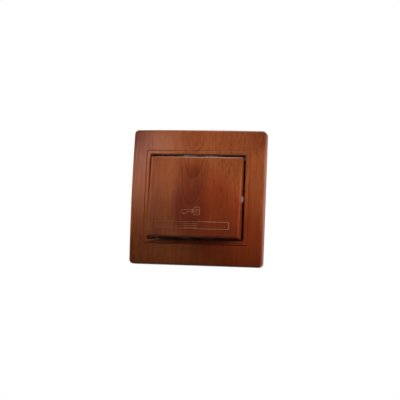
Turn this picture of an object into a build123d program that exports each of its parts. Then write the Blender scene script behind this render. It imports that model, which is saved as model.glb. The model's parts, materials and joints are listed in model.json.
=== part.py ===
from build123d import *
import math
import os

# Flush push-button switch: a square domed frame, an inner bezel and one large sprung key,
# in front of a steel support plate that carries the contact mechanism and two claws.
# Millimetres. X runs to the right, Z upwards and Y into the wall. The origin is the centre
# of the wall plane. A height is a distance in front of that plane, along -Y, and a
# negative height lies inside the wall box.

# Frame
frame_width = 82.0
frame_corner = 2.6
frame_wall = 2.2
frame_crown = 10.0
crown_radius = 420.0
frame_edge = 1.3
groove_width = 64.1
groove_height = 57.0
groove_corner = 1.0
ledge_width = 1.35
ledge_height = 6.6
collar_wall = 1.45
collar_foot = 4.0
rib_thickness = 1.0
rib_offset = 14.0
rib_foot = 2.2
locating_foot = 0.4
locating_gap = 0.3

# Inner bezel
bezel_fit = 0.25
bezel_proud = 0.35
bezel_ring_side = 2.55
bezel_ring_end = 2.7
bezel_opening_corner = 0.8
bezel_outer_edge = 0.45
bezel_inner_edge = 0.6
leg_width = 6.0
leg_offset = 7.0
leg_hook = 0.8
leg_hook_length = 1.5
screw_notch = 9.0
screw_notch_height = 1.4

# Key, drawn square to its own pivot and then tilted
rest_tilt = 4.85
pivot_height = 5.6
pivot_z = -0.7
rocker_gap_side = 1.25
rocker_gap_end = 1.4
rocker_corner = 0.9
rocker_rise = 8.6
rocker_skirt = 0.8
rocker_wall = 1.6
rocker_face = 1.8
rocker_edge = 1.25
rocker_rib = 1.2
rocker_rib_offset = 9.0
rocker_rib_length = 28.0
hook_width = 10.0
hook_thickness = 1.2
hook_barb = 0.7
hook_fit = 0.15

# Label field
label_margin = 5.15
label_height = 5.2
label_x = -0.5
label_rise = 6.95
label_depth = 0.8
label_fit = 0.15
label_proud = 0.1
label_corner = 0.3
label_peg_radius = 0.8
label_peg_spacing = 36.0
label_peg_length = 1.9
label_peg_fit = 0.08

# Cradle behind the key
cradle_width = 30.4
cradle_length = 32.0
cradle_plate = 1.4
cradle_top = 5.0
trunnion_radius = 1.5
trunnion_length = 3.2
trunnion_fit = 0.06
hub_radius = 2.3
web_thickness = 1.5
lug_width = 7.0
lug_radius = 1.0
lug_reach = 3.0
stop_offset = 14.5
stop_x = 11.0
stop_width = 3.0
stop_thickness = 1.6
stop_reach_up = 1.3
stop_reach_down = 1.9
press_angle = 7.0

# Support plate
plate_margin = 3.3
plate_corner = 5.0
plate_thickness = 1.0
plate_seat_side = 7.0
plate_seat_end = 2.0
plate_opening_corner = 2.0
box_screw_spacing = 60.0
box_slot_length = 4.0
box_slot_width = 3.4
leg_slot_fit = 0.3

# Case of the mechanism
case_width = 38.0
case_height = 42.0
case_corner = 2.0
case_wall = 1.6
case_depth = 22.0
case_floor = 1.8
shallow_depth = 17.4
deep_part_top = 4.0
cover_thickness = 1.8
bearing_gap = 0.3
bearing_width = 3.0
bearing_half_length = 3.2
bearing_top = 2.4
bearing_slot = 2.7
case_screw_inset_x = 3.5
case_screw_inset_z = 3.0
case_screw_radius = 1.1
case_screw_fit = 0.05
case_screw_clearance = 0.3
case_screw_length = 8.8
case_screw_head = 1.9
case_screw_head_height = 1.2
post_width = 4.4
divider_thickness = 1.2

# Plunger and moving contact
plunger_seat = 1.5
plunger_width = 10.0
plunger_height = 7.6
plunger_tail = 10.4
plunger_fit = 0.2
plunger_mouth_fit = 0.3
lug_gap = 0.12
guide_rib = 1.3
guide_rib_half = 6.2
side_guide_height = 11.0
bridge_overhang = 2.6
bridge_height = 4.0
bridge_thickness = 0.6
bridge_window_fit = 0.2
bridge_window_room = 2.35
tip_radius = 1.5
moving_tip_thickness = 0.5
fixed_tip_thickness = 0.7
contact_clearance = 0.13

# Springs
return_wire = 0.5
return_coil_radius = 2.25
return_turns = 7
return_bore_fit = 0.3
return_bore_top = 7.4
spring_boss_length = 2.0
contact_wire = 0.35
contact_coil_radius = 1.3
contact_turns = 3
spring_seat_gap = 0.05

# Contact rails and terminals
rail_front = 8.5
rail_thickness = 0.8
rail_inset = 9.8
rail_width = 4.8
rail_overhang = 2.8
terminal_inset_x = 10.4
terminal_inset_z = 10.0
terminal_width = 9.2
terminal_below = 4.5
terminal_above = 6.0
rail_hole_fit = 0.08
clamp_width = 8.6
clamp_height = 8.0
clamp_thickness = 1.2
clamp_gap = 2.7
clamp_travel = 1.6
clamp_hole_fit = 0.25
terminal_screw_radius = 1.7
terminal_screw_tip = 0.6
terminal_head_radius = 3.0
terminal_head_height = 2.2
terminal_head_gap = 0.05
driver_hole_radius = 3.4
wire_entry_radius = 1.3
wire_entry_offset = 3.4
rail_rib = 1.2
rail_rib_top = 4.0
end_support_width = 2.8
end_support_gap = 0.3

# Claws
claw_clearance = 1.9
claw_axis_depth = 4.6
claw_width = 10.0
claw_sheet = 1.4
claw_bend = 1.12
claw_length = 15.4
claw_foot = 7.2
claw_screw_arm = 3.2
claw_slot_width = 3.8
claw_slot_start = 1.2
claw_slot_end = 6.2
claw_slot_bend = 1.3
claw_slot_depth = 10.5
claw_pin_radius = 1.0
claw_pin_fit = 0.06
claw_tooth = 1.6
claw_tooth_count = 3
ear_gap = 0.3
ear_thickness = 1.0
ear_width = 3.2
ear_length = 6.6
ear_window = 6.0
claw_screw_radius = 1.5
claw_screw_fit = 0.25
claw_screw_length = 13.6
claw_screw_head = 2.9
claw_screw_head_height = 2.0
claw_swing = 30.0
claw_thread_pitch = 0.5
terminal_thread_pitch = 0.6

# Cross recess of every screw, its length as a share of the head
recess_share = 0.62
recess_width = 0.9
recess_depth = 0.9

# How far cutters run past what they cut, how close an edge is looked for, and the two sides
past = 1.0
edge_margin = 0.01
sides = (-1, 1)


def slab(outline, low, high):
    """An outline drawn in X and Z, made solid between two heights."""
    return extrude(Plane.XZ.offset(low) * outline, high - low)


def box(x_range, z_range, low, high):
    """A block from its limits in X, in Z and in height."""
    width = x_range[1] - x_range[0]
    tall = z_range[1] - z_range[0]
    middle = Pos(sum(x_range) / 2, sum(z_range) / 2)
    return slab(middle * Rectangle(width, tall), low, high)


def rounded(width, tall, corner, x=0.0, z=0.0):
    return Pos(x, z) * RectangleRounded(width, tall, corner)


def disc(radius, x, z):
    return Pos(x, z) * Circle(radius)


def shaft(radius, start, direction, length):
    """A round bar from a point (x, height, z) along a direction in space."""
    x, height, z = start
    return extrude(Plane(origin=(x, -height, z), z_dir=direction) * Circle(radius), length)


def crowned(outline, low, crown, radius):
    """An outline made solid from a height up to a shallow dome."""
    dome = Pos(0, radius - crown, 0) * Sphere(radius)
    return slab(outline, low, crown + past) & dome


def edges_near(part, low, half_width, half_height, outside):
    """Front edges above a height, inside or outside a rectangle."""

    def wanted(edge):
        point = edge.center()
        inside = abs(point.X) < half_width and abs(point.Z) < half_height
        return -point.Y > low and inside != outside

    return part.edges().filter_by(wanted)


def cross_recess(x, z, face, outward, head_radius):
    """Cutter for a crossed screwdriver recess in a head whose face is at this height."""
    low, high = sorted((face - outward * recess_depth, face + outward * past))
    length = recess_share * 2 * head_radius
    bars = Rectangle(length, recess_width) + Rectangle(recess_width, length)
    return slab(Pos(x, z) * bars, low, high)


def tilted(part):
    """Turn a piece of the key from square to its rest position, lower edge out."""
    pivot = Axis((0, -pivot_height, pivot_z), (1, 0, 0))
    return part.rotate(pivot, -rest_tilt)


def key_outline(width, tall, corner, x=0.0, z=0.0):
    return Pos(x, pivot_z + z) * RectangleRounded(width, tall, corner)


def key_box(x_range, z_range, low, high):
    """A block of the untilted key, measured from the pivot."""
    z_limits = (pivot_z + z_range[0], pivot_z + z_range[1])
    return box(x_range, z_limits, pivot_height + low, pivot_height + high)


def lug_tip(angle):
    """Height and Z of the lug's rounded end with the key at this tilt."""
    turn = math.radians(angle)
    centre = lug_reach - lug_radius
    height = pivot_height - centre * math.cos(turn) + lug_offset * math.sin(turn) - lug_radius
    z = pivot_z - lug_offset * math.cos(turn) - centre * math.sin(turn)
    return height, z


# Values that several pieces share
bezel_opening_width = groove_width - 2 * bezel_ring_side
bezel_opening_height = groove_height - 2 * bezel_ring_end
rocker_width = bezel_opening_width - 2 * rocker_gap_side
rocker_height = bezel_opening_height - 2 * rocker_gap_end
label_width = rocker_width - 2 * label_margin
label_z = label_rise - rocker_height / 2
plate_width = frame_width - 2 * frame_wall - 2 * plate_margin
plate_opening_width = case_width - 2 * plate_seat_side
plate_opening_height = case_height - 2 * plate_seat_end
case_screw_x = case_width / 2 - case_screw_inset_x
case_screw_z = case_height / 2 - case_screw_inset_z
plunger_z = case_wall + plunger_seat + plunger_fit + plunger_height / 2 - case_height / 2
lug_offset = pivot_z - plunger_z
rail_x = case_width / 2 - rail_inset
rail_low = plunger_z - rail_overhang
bridge_width = 2 * (rail_x + bridge_overhang)
terminal_x = case_width / 2 - terminal_inset_x
terminal_z = case_height / 2 - terminal_inset_z
terminal_low = terminal_z - terminal_below
terminal_high = terminal_z + terminal_above
claw_axis_x = case_width / 2 + claw_clearance
throat_width = groove_width - 2 * ledge_width
throat_height = groove_height - 2 * ledge_width
skirt_width = throat_width - 2 * bezel_fit
skirt_height = throat_height - 2 * bezel_fit
cover_top = plate_thickness + cover_thickness
cradle_bottom = cradle_top - cradle_plate
plunger_front = lug_tip(rest_tilt)[0] - lug_gap
plunger_travel = lug_tip(rest_tilt)[0] - lug_tip(rest_tilt - press_angle)[0]
fixed_tip_face = -rail_front + fixed_tip_thickness
bridge_back = fixed_tip_face + contact_clearance + plunger_travel + moving_tip_thickness
bridge_front = bridge_back + bridge_thickness
window_front = bridge_front + bridge_window_room
rail_back = -rail_front - rail_thickness
clamp_front = rail_back - clamp_gap
clamp_back = clamp_front - clamp_thickness
terminal_head_front = clamp_back - terminal_head_gap
deep_floor = case_floor - case_depth
shallow_floor = case_wall - shallow_depth
ear_inner = claw_width / 2 + ear_gap
claw_screw_x = claw_axis_x + claw_screw_arm


def make_cover_frame():
    outline = RectangleRounded(frame_width, frame_width, frame_corner)
    body = crowned(outline, 0, frame_crown, crown_radius)
    side = frame_width / 2
    corner_drop = side**2 / crown_radius
    front = edges_near(body, frame_crown - corner_drop - frame_edge, side / 2, side / 2, True)
    body = fillet(front, frame_edge)

    inside = frame_width - 2 * frame_wall
    hollow_outline = RectangleRounded(inside, inside, frame_corner - frame_edge)
    hollow = crowned(hollow_outline, -past, frame_crown - frame_wall, crown_radius - frame_wall)
    collar_width = groove_width + 2 * collar_wall
    collar_height = groove_height + 2 * collar_wall
    collar = rounded(collar_width, collar_height, groove_corner + collar_wall)
    hollow -= slab(collar, collar_foot, frame_crown)
    reach = (throat_height / 2 + ledge_width, frame_width / 2)
    foot_start = (plate_width / 2 + locating_gap, frame_width / 2)
    for quarter in range(4):
        for place in sides:
            middle = rib_offset * place
            band = (middle - rib_thickness / 2, middle + rib_thickness / 2)
            rib = box(band, reach, rib_foot, frame_crown) + box(band, foot_start, locating_foot, frame_crown)
            hollow -= rib.rotate(Axis.Y, 90 * quarter)
    body -= hollow
    body -= slab(rounded(groove_width, groove_height, groove_corner), ledge_height, frame_crown + past)
    body -= slab(rounded(throat_width, throat_height, groove_corner), -past, frame_crown)
    return body


def make_inner_bezel():
    lip_width = groove_width - 2 * bezel_fit
    lip_height = groove_height - 2 * bezel_fit
    lip = rounded(lip_width, lip_height, groove_corner)
    crown = frame_crown + bezel_proud
    ring = crowned(lip, ledge_height, crown, crown_radius)
    half_width = bezel_opening_width / 2
    half_height = bezel_opening_height / 2
    ring = fillet(edges_near(ring, ledge_height + past, half_width, half_height, True), bezel_outer_edge)
    ring += slab(rounded(skirt_width, skirt_height, groove_corner), collar_foot, ledge_height + past)
    opening = rounded(bezel_opening_width, bezel_opening_height, bezel_opening_corner)
    ring -= slab(opening, 0, crown + past)
    low = ledge_height + past
    inner = edges_near(ring, low, half_width + edge_margin, half_height + edge_margin, False)
    ring = fillet(inner, bezel_inner_edge)

    wall = (skirt_height - bezel_opening_height) / 2
    leg_start = half_height + leg_slot_fit
    for up in sides:
        for right in sides:
            middle = right * leg_offset
            span = (middle - leg_width / 2, middle + leg_width / 2)
            leg = box(span, (leg_start, half_height + wall), -leg_hook_length - bezel_fit, collar_foot + past)
            hook = box(span, (leg_start, half_height + wall + leg_hook), -leg_hook_length, -bezel_fit)
            leg += chamfer(hook.edges().filter_by(Axis.X).sort_by(Axis.Y)[-2:].sort_by(Axis.Z)[-1], leg_hook / 2)
            ring += leg if up > 0 else mirror(leg, about=Plane.XY)
    for right in sides:
        reach = sorted((right * half_width, right * skirt_width))
        notch = screw_notch / 2
        ring -= box(reach, (-notch, notch), 0, collar_foot + screw_notch_height)
    return ring


def make_rocker():
    front = pivot_height + rocker_rise
    back = pivot_height - rocker_skirt
    body = slab(key_outline(rocker_width, rocker_height, rocker_corner), back, front)
    body = fillet(body.faces().sort_by(Axis.Y)[0].edges(), rocker_edge)
    inner_width = rocker_width - 2 * rocker_wall
    inner_height = rocker_height - 2 * rocker_wall
    hollow = key_outline(inner_width, inner_height, rocker_corner)
    inner_face = rocker_rise - rocker_face
    body -= slab(hollow, back - past, front - rocker_face)
    for right in sides:
        middle = right * rocker_rib_offset
        band = (middle - rocker_rib / 2, middle + rocker_rib / 2)
        body += key_box(band, (-rocker_rib_length / 2, rocker_rib_length / 2), cradle_top, inner_face + past / 2)
    for up in sides:
        start = cradle_length / 2 + hook_fit
        arm = sorted((up * start, up * (start + hook_thickness)))
        barb = sorted((up * (start - hook_barb), up * (start + hook_thickness)))
        half = hook_width / 2
        under = cradle_bottom - hook_fit
        body += key_box((-half, half), arm, under, inner_face + past / 2)
        body += key_box((-half, half), barb, under - hook_barb, under)
    pocket = key_outline(label_width, label_height, label_corner, label_x, label_z)
    body -= slab(pocket, front - label_depth, front + past)
    for right in sides:
        peg_x = label_x + right * label_peg_spacing / 2
        hole = disc(label_peg_radius + label_peg_fit, peg_x, pivot_z + label_z)
        body -= slab(hole, front - rocker_face - past, front)
    return tilted(body)


def make_label_cover():
    front = pivot_height + rocker_rise
    seat = front - label_depth
    width = label_width - 2 * label_fit
    tall = label_height - 2 * label_fit
    strip = slab(key_outline(width, tall, label_corner, label_x, label_z), seat, front + label_proud)
    strip = chamfer(strip.faces().sort_by(Axis.Y)[0].edges(), label_proud)
    for right in sides:
        peg_x = label_x + right * label_peg_spacing / 2
        strip += slab(disc(label_peg_radius, peg_x, pivot_z + label_z), seat - label_peg_length, seat)
    return tilted(strip)


def make_rocker_cradle():
    half_width = cradle_width / 2
    half_length = cradle_length / 2
    body = key_box((-half_width, half_width), (-half_length, half_length), cradle_bottom, cradle_top)
    for right in sides:
        web = sorted((right * (half_width - web_thickness), right * half_width))
        body += key_box(web, (-hub_radius, hub_radius), 0, cradle_bottom)
        start = (right * (half_width - web_thickness), pivot_height, pivot_z)
        body += shaft(hub_radius, start, (right, 0, 0), web_thickness)
        body += shaft(trunnion_radius, start, (right, 0, 0), web_thickness + trunnion_length)
        pad = sorted((right * (stop_x - stop_width / 2), right * (stop_x + stop_width / 2)))
        for middle, reach in ((stop_offset, stop_reach_up), (-stop_offset, stop_reach_down)):
            band = (middle - stop_thickness / 2, middle + stop_thickness / 2)
            body += key_box(pad, band, -reach, cradle_bottom)
    tip = lug_radius - lug_reach
    lug_span = (-lug_offset - lug_radius, -lug_offset + lug_radius)
    body += key_box((-lug_width / 2, lug_width / 2), lug_span, tip, cradle_bottom)
    end = (-lug_width / 2, pivot_height + tip, pivot_z - lug_offset)
    body += shaft(lug_radius, end, (1, 0, 0), lug_width)
    return tilted(body)


def make_support_plate():
    body = slab(RectangleRounded(plate_width, plate_width, plate_corner), 0, plate_thickness)
    cuts = rounded(plate_opening_width, plate_opening_height, plate_opening_corner)
    slot = SlotOverall(box_slot_length, box_slot_width)
    leg_inner = bezel_opening_height / 2
    leg_outer = skirt_height / 2 + leg_slot_fit
    ear_outer = ear_inner + ear_thickness
    for a in sides:
        cuts += Pos(a * box_screw_spacing / 2, 0) * slot
        cuts += Pos(0, a * box_screw_spacing / 2) * Rot(0, 0, 90) * slot
        cuts += disc(claw_screw_radius + claw_screw_fit, a * claw_screw_x, 0)
        for b in sides:
            leg_z = (leg_inner + leg_outer) / 2
            cuts += Pos(a * leg_offset, b * leg_z) * Rectangle(leg_width + 2 * leg_slot_fit, leg_outer - leg_inner)
            cuts += disc(case_screw_radius + case_screw_clearance, a * case_screw_x, b * case_screw_z)
            window_z = ear_outer + ear_window / 2
            cuts += Pos(a * claw_axis_x, b * window_z) * Rectangle(ear_width, ear_window)
    body -= slab(cuts, -past, plate_thickness + past)
    for a in sides:
        for b in sides:
            band = sorted((b * ear_inner, b * ear_outer))
            middle = a * claw_axis_x
            ear = box((middle - ear_width / 2, middle + ear_width / 2), band, -ear_length, 0)
            ear = fillet(ear.edges().filter_by(Axis.Z).sort_by(Axis.Y)[-2:], ear_width / 3)
            start = (middle, -claw_axis_depth, band[0] - past)
            ear -= shaft(claw_pin_radius + claw_pin_fit, start, (0, 0, 1), ear_thickness + 2 * past)
            body += ear
    return body


def make_housing_cover():
    body = slab(rounded(case_width, case_height, case_corner), plate_thickness, cover_top)
    for right in sides:
        inner = cradle_width / 2 + bearing_gap
        span = sorted((right * inner, right * (inner + bearing_width)))
        z_range = (pivot_z - bearing_half_length, pivot_z + bearing_half_length)
        block = box(span, z_range, cover_top, pivot_height + bearing_top)
        block -= box(span, (pivot_z - bearing_slot / 2, pivot_z + bearing_slot / 2), pivot_height, pivot_height * 2)
        block -= shaft(trunnion_radius + trunnion_fit, (span[0], pivot_height, pivot_z), (1, 0, 0), bearing_width)
        body += block
        for up in sides:
            hole = disc(case_screw_radius + case_screw_clearance, right * case_screw_x, up * case_screw_z)
            body -= slab(hole, 0, cover_top + past)
    mouth = Rectangle(plunger_width + 2 * plunger_mouth_fit, plunger_height + 2 * plunger_mouth_fit)
    body -= slab(Pos(0, plunger_z) * mouth, 0, cover_top + past)
    return body


def make_housing_base():
    deep_height = case_height / 2 + deep_part_top
    deep_middle = (deep_part_top - case_height / 2) / 2
    inner_width = case_width - 2 * case_wall
    inner_corner = case_corner - case_wall / 2
    body = slab(rounded(case_width, case_height, case_corner), -shallow_depth, 0)
    body += slab(rounded(case_width, deep_height, case_corner, 0, deep_middle), -case_depth, 0)
    body -= slab(rounded(inner_width, case_height - 2 * case_wall, inner_corner), shallow_floor, past)
    deep_hollow = rounded(inner_width, deep_height - 2 * case_wall, inner_corner, 0, deep_middle)
    body -= slab(deep_hollow, deep_floor, past)

    x_wall = case_width / 2 - case_wall / 2
    z_wall = case_height / 2 - case_wall / 2
    for right in sides:
        for up in sides:
            floor = shallow_floor if up > 0 else deep_floor
            x_band = sorted((right * (case_screw_x - post_width / 2), right * x_wall))
            z_band = sorted((up * (case_screw_z - post_width / 2), up * z_wall))
            body += box(x_band, z_band, floor - past / 2, 0)
            pilot = disc(case_screw_radius + case_screw_fit, right * case_screw_x, up * case_screw_z)
            body -= slab(pilot, cover_top - case_screw_length - past, past)

    # Guides for the plunger: two ribs across it, two posts beside it and a boss inside its spring
    guide = plunger_height / 2 + plunger_fit
    upper = (plunger_z + guide, plunger_z + guide + guide_rib)
    lower = (-z_wall, plunger_z - guide)
    body += box((-guide_rib_half, guide_rib_half), upper, deep_floor - past / 2, -past / 2)
    body += box((-guide_rib_half, guide_rib_half), lower, deep_floor - past / 2, -past / 2)
    for right in sides:
        inner = plunger_width / 2 + plunger_fit
        span = sorted((right * inner, right * guide_rib_half))
        body += box(span, (lower[1], upper[0]), deep_floor - past / 2, -side_guide_height)
    boss_radius = return_coil_radius - return_wire / 2 - return_bore_fit
    body += slab(disc(boss_radius, 0, plunger_z), deep_floor - past / 2, deep_floor + spring_boss_length)

    # Supports of the two contact rails, and the wall between the two terminals
    for right in sides:
        middle = right * rail_x
        span = (middle - rail_rib / 2, middle + rail_rib / 2)
        body += box(span, (rail_low, rail_rib_top), deep_floor - past / 2, rail_back)
        span = (right * terminal_x - end_support_width / 2, right * terminal_x + end_support_width / 2)
        low_end = terminal_z + clamp_height / 2 + end_support_gap
        body += box(span, (low_end, z_wall), shallow_floor - past / 2, rail_back)
        access = disc(driver_hole_radius, right * terminal_x, terminal_z)
        body -= slab(access, -shallow_depth - past, shallow_floor + past / 2)
        for wire in sides:
            x = right * terminal_x + wire * wire_entry_offset
            start = (x, (rail_back + clamp_front) / 2, case_height / 2 - case_wall - past / 2)
            body -= shaft(wire_entry_radius, start, (0, 0, 1), case_wall + past)
    half = divider_thickness / 2
    body += box((-half, half), (upper[0], z_wall), shallow_floor - past / 2, -past / 2)
    return body


def make_housing_screws():
    screws = []
    for right in sides:
        for up in sides:
            x = right * case_screw_x
            z = up * case_screw_z
            head_top = cover_top + case_screw_head_height
            head = slab(disc(case_screw_head, x, z), cover_top, head_top)
            head = fillet(head.faces().sort_by(Axis.Y)[0].edges(), case_screw_head_height / 2)
            screw = head + slab(disc(case_screw_radius, x, z), cover_top - case_screw_length, cover_top)
            screws.append(screw - cross_recess(x, z, head_top, 1, case_screw_head))
    return Compound(children=screws)


def make_plunger():
    body = slab(Pos(0, plunger_z) * Rectangle(plunger_width, plunger_height), -plunger_tail, plunger_front)
    body = chamfer(body.faces().sort_by(Axis.Y)[0].edges(), plunger_fit)
    half = bridge_height / 2 + bridge_window_fit
    window = (plunger_z - half, plunger_z + half)
    body -= box((-plunger_width, plunger_width), window, bridge_back, window_front)
    bore = disc(return_coil_radius + return_wire / 2 + return_bore_fit, 0, plunger_z)
    body -= slab(bore, -plunger_tail - past, -return_bore_top)
    return body


def make_moving_contact():
    outline = rounded(bridge_width, bridge_height, bridge_height / 2 - bridge_window_fit, 0, plunger_z)
    return slab(outline, bridge_back, bridge_front)


def make_moving_contact_tips():
    low = bridge_back - moving_tip_thickness
    return Compound(children=[slab(disc(tip_radius, a * rail_x, plunger_z), low, bridge_back) for a in sides])


def make_fixed_contact_tips():
    low = -rail_front
    return Compound(children=[slab(disc(tip_radius, a * rail_x, plunger_z), low, fixed_tip_face) for a in sides])


def make_fixed_contact(side):
    neck_tall = terminal_low - rail_low
    neck_middle = (terminal_low + rail_low) / 2
    outline = Pos(side * rail_x, neck_middle) * Rectangle(rail_width, neck_tall)
    end_tall = terminal_high - terminal_low
    end_middle = (terminal_high + terminal_low) / 2
    outline += Pos(side * terminal_x, end_middle) * Rectangle(terminal_width, end_tall)
    outline -= disc(terminal_screw_radius + rail_hole_fit, side * terminal_x, terminal_z)
    return slab(outline, rail_back, -rail_front)


def make_terminal_clamp(side):
    outline = rounded(clamp_width, clamp_height, clamp_thickness / 2, side * terminal_x, terminal_z)
    outline -= disc(terminal_screw_radius + clamp_hole_fit, side * terminal_x, terminal_z)
    return slab(outline, clamp_back, clamp_front)


def make_terminal_screw(side):
    x = side * terminal_x
    head_back = terminal_head_front - terminal_head_height
    head = slab(disc(terminal_head_radius, x, terminal_z), head_back, terminal_head_front)
    head = fillet(head.faces().sort_by(Axis.Y)[-1].edges(), terminal_head_height / 3)
    screw = head + slab(disc(terminal_screw_radius, x, terminal_z), terminal_head_front, terminal_screw_tip - rail_front)
    return screw - cross_recess(x, terminal_z, head_back, -1, terminal_head_radius)


def make_claw(side):
    """A bent steel claw: foot towards the room, arm into the box, teeth at its end."""
    half = claw_width / 2
    inner_x = claw_axis_x - claw_sheet / 2
    outer_x = claw_axis_x + claw_sheet / 2
    foot_front = -claw_axis_depth + claw_sheet / 2
    tip = -claw_axis_depth - claw_length
    arm = box((inner_x, outer_x), (-half, half), tip, foot_front)
    foot = box((inner_x, claw_axis_x + claw_foot), (-half, half), foot_front - claw_sheet, foot_front)
    body = arm + foot
    bend = body.edges().filter_by(Axis.Z).sort_by(Axis.Y)[:3].sort_by(Axis.X)[0]
    body = fillet(bend, claw_bend)
    slot = (-claw_slot_width / 2, claw_slot_width / 2)
    slot_span = (claw_axis_x + claw_slot_start, claw_axis_x + claw_slot_end)
    body -= box(slot_span, slot, foot_front - 2 * claw_sheet, foot_front + past)
    slot_low = -claw_axis_depth - claw_slot_depth
    body -= box((inner_x - past, outer_x + past), slot, slot_low, -claw_axis_depth - claw_slot_bend)
    pitch = claw_width / claw_tooth_count
    for tooth in range(claw_tooth_count):
        low = -half + tooth * pitch
        point = (outer_x + claw_tooth, low + pitch / 2)
        outline = Polyline((inner_x, low), (outer_x, low), point, (outer_x, low + pitch), (inner_x, low + pitch))
        body += slab(make_face(outline + Line((inner_x, low + pitch), (inner_x, low))), tip, tip + claw_sheet)
    pin_start = (claw_axis_x, -claw_axis_depth, -ear_inner - ear_thickness)
    pin = shaft(claw_pin_radius, pin_start, (0, 0, 1), 2 * (ear_inner + ear_thickness))
    pin -= box((inner_x - past, outer_x + past), slot, -claw_axis_depth - past * 2, foot_front)
    body += pin
    return body if side > 0 else mirror(body, about=Plane.YZ)


def make_claw_screw(side):
    x = side * claw_screw_x
    head_top = plate_thickness + claw_screw_head_height
    head = slab(disc(claw_screw_head, x, 0), plate_thickness, head_top)
    head = fillet(head.faces().sort_by(Axis.Y)[0].edges(), claw_screw_head_height / 3)
    screw = head + slab(disc(claw_screw_radius, x, 0), plate_thickness - claw_screw_length, plate_thickness)
    return screw - cross_recess(x, 0, head_top, 1, claw_screw_head)


def coil(radius, wire, low, high, turns):
    """An open coil about the plunger's axis, each half turn drawn as two tangent arcs."""
    rise = (high - low) / turns
    slope = math.hypot(radius, rise / math.tau)

    def point(turn):
        angle = turn * math.tau
        return Vector(radius * math.cos(angle), -low - rise * turn, plunger_z + radius * math.sin(angle))

    def heading(turn):
        angle = turn * math.tau
        return Vector(-radius * math.sin(angle), -rise / math.tau, radius * math.cos(angle)) / slope

    arcs = []
    for half_turn in range(2 * turns):
        first, last = half_turn / 2, half_turn / 2 + 0.5
        start, end = point(first), point(last)
        leave, arrive = heading(first), heading(last)
        chord = end - start
        both = leave + arrive
        bend = 2 * (1 - leave.dot(arrive))
        reach = (math.sqrt(chord.dot(both) ** 2 + bend * chord.dot(chord)) - chord.dot(both)) / bend
        before, after = start + leave * reach, end - arrive * reach
        joint = (before + after) / 2
        arcs.append(TangentArc(start, joint, tangent=leave))
        arcs.append(TangentArc(joint, end, tangent=after - before))
    path = Wire(arcs)
    section = Plane(origin=point(0), z_dir=heading(0)) * Circle(wire / 2)
    return sweep(section, path=path)


def make_return_spring():
    low = deep_floor + return_wire / 2 + spring_seat_gap
    high = -return_bore_top - return_wire / 2 - spring_seat_gap
    return coil(return_coil_radius, return_wire, low, high, return_turns)


def make_contact_spring():
    low = bridge_front + contact_wire / 2 + spring_seat_gap
    high = window_front - contact_wire / 2 - spring_seat_gap
    return coil(contact_coil_radius, contact_wire, low, high, contact_turns)


nodes = {
    "cover_frame": make_cover_frame(),
    "inner_bezel": make_inner_bezel(),
    "rocker": make_rocker(),
    "label_cover": make_label_cover(),
    "rocker_cradle": make_rocker_cradle(),
    "support_plate": make_support_plate(),
    "housing_cover": make_housing_cover(),
    "housing_base": make_housing_base(),
    "housing_screws": make_housing_screws(),
    "plunger": make_plunger(),
    "moving_contact": make_moving_contact(),
    "moving_contact_tips": make_moving_contact_tips(),
    "contact_spring": make_contact_spring(),
    "return_spring": make_return_spring(),
    "fixed_contact_tips": make_fixed_contact_tips(),
}
for name, side in (("left", -1), ("right", 1)):
    nodes[f"fixed_contact_{name}"] = make_fixed_contact(side)
    nodes[f"terminal_clamp_{name}"] = make_terminal_clamp(side)
    nodes[f"terminal_screw_{name}"] = make_terminal_screw(side)
    nodes[f"claw_{name}"] = make_claw(side)
    nodes[f"claw_screw_{name}"] = make_claw_screw(side)

os.makedirs("parts", exist_ok=True)
for name, shape in nodes.items():
    export_step(shape, f"parts/{name}.step")

# Values that the joints follow
press_ratio = plunger_travel / 1000 / math.radians(press_angle)
claw_turn = claw_screw_arm * math.sin(math.radians(claw_swing)) / claw_thread_pitch * 360
terminal_turn = clamp_travel / terminal_thread_pitch * 360
print(f"plunger travel {plunger_travel:.3f} mm, {press_ratio:.6f} m per radian")
print(f"claw screw {claw_turn:.1f} degrees for {claw_swing} degrees of claw")
print(f"terminal screw {terminal_turn:.1f} degrees for {clamp_travel} mm of clamp")
print(f"least gap between turns {(bridge_window_room / contact_turns - contact_wire):.2f} mm")
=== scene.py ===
import json
import math

import bmesh
import bpy
from mathutils import Matrix, Vector


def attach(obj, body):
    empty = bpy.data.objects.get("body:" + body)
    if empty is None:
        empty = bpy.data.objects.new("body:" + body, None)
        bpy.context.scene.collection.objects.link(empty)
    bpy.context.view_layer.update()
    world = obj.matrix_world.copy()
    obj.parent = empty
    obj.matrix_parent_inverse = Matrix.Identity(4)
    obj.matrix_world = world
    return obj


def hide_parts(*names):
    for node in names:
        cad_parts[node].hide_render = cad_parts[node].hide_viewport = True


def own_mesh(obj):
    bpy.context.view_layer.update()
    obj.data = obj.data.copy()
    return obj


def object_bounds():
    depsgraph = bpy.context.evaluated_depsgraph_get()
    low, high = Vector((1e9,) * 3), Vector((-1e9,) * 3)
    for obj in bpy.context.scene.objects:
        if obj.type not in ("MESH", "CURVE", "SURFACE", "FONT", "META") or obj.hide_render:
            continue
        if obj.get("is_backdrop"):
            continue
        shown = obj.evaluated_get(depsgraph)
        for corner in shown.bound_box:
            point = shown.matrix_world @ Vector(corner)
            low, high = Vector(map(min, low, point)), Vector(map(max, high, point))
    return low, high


# %% [markdown]
# A flush push-button switch in wood-effect plastic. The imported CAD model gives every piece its
# place and its joints. This script adds what makes it look real: the printed and lacquered
# wood film, zinc-plated steel, brass, silver and moulded plastic, and small shapes such as
# threads, springs, rounded edges and the raised signs on the key.

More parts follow.
